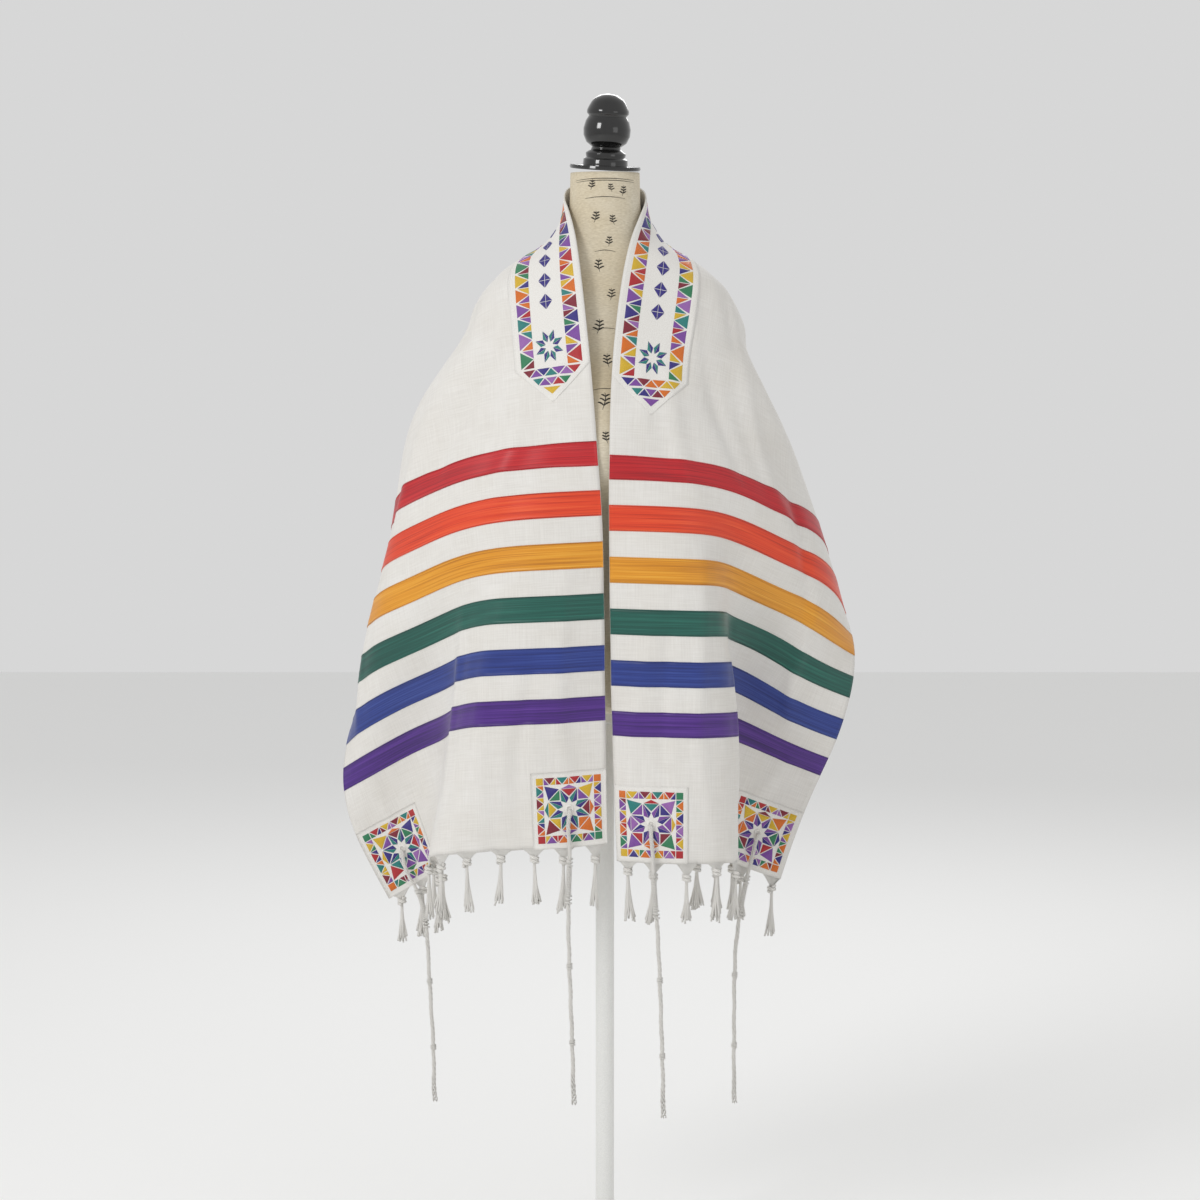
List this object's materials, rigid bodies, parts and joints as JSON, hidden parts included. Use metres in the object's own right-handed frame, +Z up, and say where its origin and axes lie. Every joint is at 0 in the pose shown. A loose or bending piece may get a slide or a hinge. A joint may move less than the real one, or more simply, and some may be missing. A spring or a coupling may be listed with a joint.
{
  "type": "tallit prayer shawl on a limbless dress form",
  "caption": "Fringed prayer shawl with ribbon stripes, neck band, corner patches and tassels, draped on a limbless dress form with a turned cap and round base.",
  "frame": {"origin": "centre of the base's underside, on the floor", "axes": "+Z up, the shawl's fronts face -Y, +X to the viewer's right"},
  "size_m": [0.699, 0.4023, 1.5985],
  "materials": {
    "cloth": "plain woven wool and cotton cloth, off-white",
    "neck_band": "white cotton band, embroidered in coloured silk thread",
    "ribbon_red": "red silk ribbon, satin sheen",
    "ribbon_orange": "orange silk ribbon, satin sheen",
    "ribbon_gold": "gold silk ribbon, satin sheen",
    "ribbon_green": "green silk ribbon, satin sheen",
    "ribbon_blue": "blue silk ribbon, satin sheen",
    "ribbon_purple": "purple silk ribbon, satin sheen",
    "patch": "white cotton patch with satin-stitch embroidery in many colours",
    "thread": "twisted white wool thread",
    "linen": "printed cream linen stretched on the form",
    "black_wood": "turned wood, black gloss lacquer",
    "stand": "pale satin paint"
  },
  "bodies": {
    "root": {"shawl_cloth": "cloth", "neck_band": "neck_band", "ribbon_red_left": "ribbon_red", "ribbon_red_right": "ribbon_red", "ribbon_orange_left": "ribbon_orange", "ribbon_orange_right": "ribbon_orange", "ribbon_gold_left": "ribbon_gold", "ribbon_gold_right": "ribbon_gold", "ribbon_green_left": "ribbon_green", "ribbon_green_right": "ribbon_green", "ribbon_blue_left": "ribbon_blue", "ribbon_blue_right": "ribbon_blue", "ribbon_purple_left": "ribbon_purple", "ribbon_purple_right": "ribbon_purple", "fringe_left": "thread", "corner_patch_left_inner": "patch", "corner_tassel_left_inner": "thread", "corner_patch_left_outer": "patch", "corner_tassel_left_outer": "thread", "fringe_right": "thread", "corner_patch_right_inner": "patch", "corner_tassel_right_inner": "thread", "corner_patch_right_outer": "patch", "corner_tassel_right_outer": "thread", "dress_form": "linen", "neck_cap": "black_wood", "pole": "stand", "base": "stand"}
  },
  "joints": []
}
